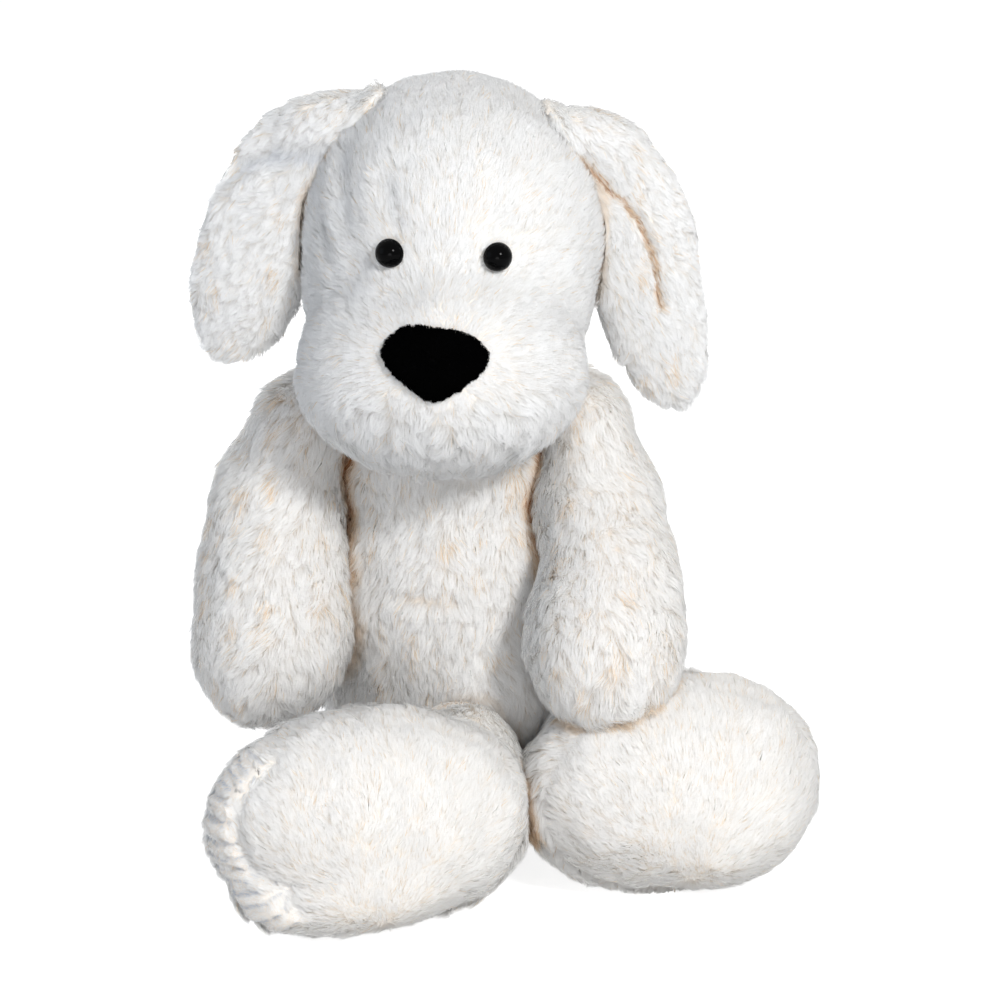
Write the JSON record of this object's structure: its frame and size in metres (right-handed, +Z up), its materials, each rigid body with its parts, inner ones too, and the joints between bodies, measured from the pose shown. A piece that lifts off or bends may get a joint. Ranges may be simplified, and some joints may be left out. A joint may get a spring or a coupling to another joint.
{
  "type": "plush dog",
  "caption": "Seated long-pile plush dog with drooping muzzle, hanging ears, floppy arms, big round feet and a short tail.",
  "frame": {"origin": "middle of the foot of the box around the seated dog, on the surface that it sits on", "axes": "+Z up, the dog faces -Y, its left side is +X"},
  "size_m": [0.2534, 0.2682, 0.3179],
  "materials": {
    "cream_plush": "long soft cream pile",
    "wadding": "loose polyester fibre",
    "pellet_bag": "thin woven cloth over plastic pellets",
    "thread": "twisted polyester thread",
    "eye_plastic": "polished black",
    "washer_plastic": "moulded, unpolished",
    "black_velour": "short dense black pile"
  },
  "bodies": {
    "torso": {"torso_skin": "cream_plush", "torso_filling": "wadding", "seat_pellet_bag": "pellet_bag", "closing_thread": "thread"},
    "neck": {"neck_filling": "wadding"},
    "head": {"head_skin": "cream_plush", "head_filling": "wadding", "right_eye": "eye_plastic", "left_eye": "eye_plastic", "right_eye_washer": "washer_plastic", "left_eye_washer": "washer_plastic", "nose": "black_velour"},
    "right_ear": {"right_ear_lining": "cream_plush", "right_ear_back": "cream_plush"},
    "left_ear": {"left_ear_lining": "cream_plush", "left_ear_back": "cream_plush"},
    "right_arm": {"right_arm_skin": "cream_plush", "right_arm_filling": "wadding"},
    "left_arm": {"left_arm_skin": "cream_plush", "left_arm_filling": "wadding"},
    "right_leg": {"right_leg_skin": "cream_plush", "right_leg_filling": "wadding", "right_sole_panel": "cream_plush", "right_foot_pellet_bag": "pellet_bag"},
    "left_leg": {"left_leg_skin": "cream_plush", "left_leg_filling": "wadding", "left_sole_panel": "cream_plush", "left_foot_pellet_bag": "pellet_bag"},
    "tail": {"tail_skin": "cream_plush", "tail_filling": "wadding"}
  },
  "joints": [
    {"name": "head_turn", "type": "hinge", "parent": "torso", "child": "neck", "pos_m": [-0.02175, 0.02675, 0.201], "axis": [0, 0, 1], "range_deg": [-15, 15]},
    {"name": "head_nod", "type": "hinge", "parent": "neck", "child": "head", "pos_m": [-0.02175, 0.04875, 0.201], "axis": [-1, 0, 0], "range_deg": [0, 25]},
    {"name": "right_ear_flap", "type": "hinge", "parent": "head", "child": "right_ear", "pos_m": [-0.056, 0.008, 0.314], "axis": [0, 1, 0], "range_deg": [0, 80]},
    {"name": "left_ear_flap", "type": "hinge", "parent": "head", "child": "left_ear", "pos_m": [0.018, 0.008, 0.308], "axis": [0, -1, 0], "range_deg": [0, 80]},
    {"name": "right_arm_raise", "type": "hinge", "parent": "torso", "child": "right_arm", "pos_m": [-0.076, 0.029, 0.201], "axis": [0.335, 0.9109, -0.2408], "range_deg": [0, 70]},
    {"name": "left_arm_raise", "type": "hinge", "parent": "torso", "child": "left_arm", "pos_m": [0.018, 0, 0.197], "axis": [-0.79, -0.3617, -0.495], "range_deg": [0, 30]},
    {"name": "right_leg_swing", "type": "hinge", "parent": "torso", "child": "right_leg", "pos_m": [-0.028, -0.0097, 0.003], "axis": [1, 0, 0], "range_deg": [0, 75]},
    {"name": "left_leg_swing", "type": "hinge", "parent": "torso", "child": "left_leg", "pos_m": [0.046, -0.0097, 0.003], "axis": [1, 0, 0], "range_deg": [0, 75]},
    {"name": "tail_lift", "type": "hinge", "parent": "torso", "child": "tail", "pos_m": [-0.0108, 0.103, 0.05], "axis": [1, 0, 0], "range_deg": [0, 40]}
  ]
}
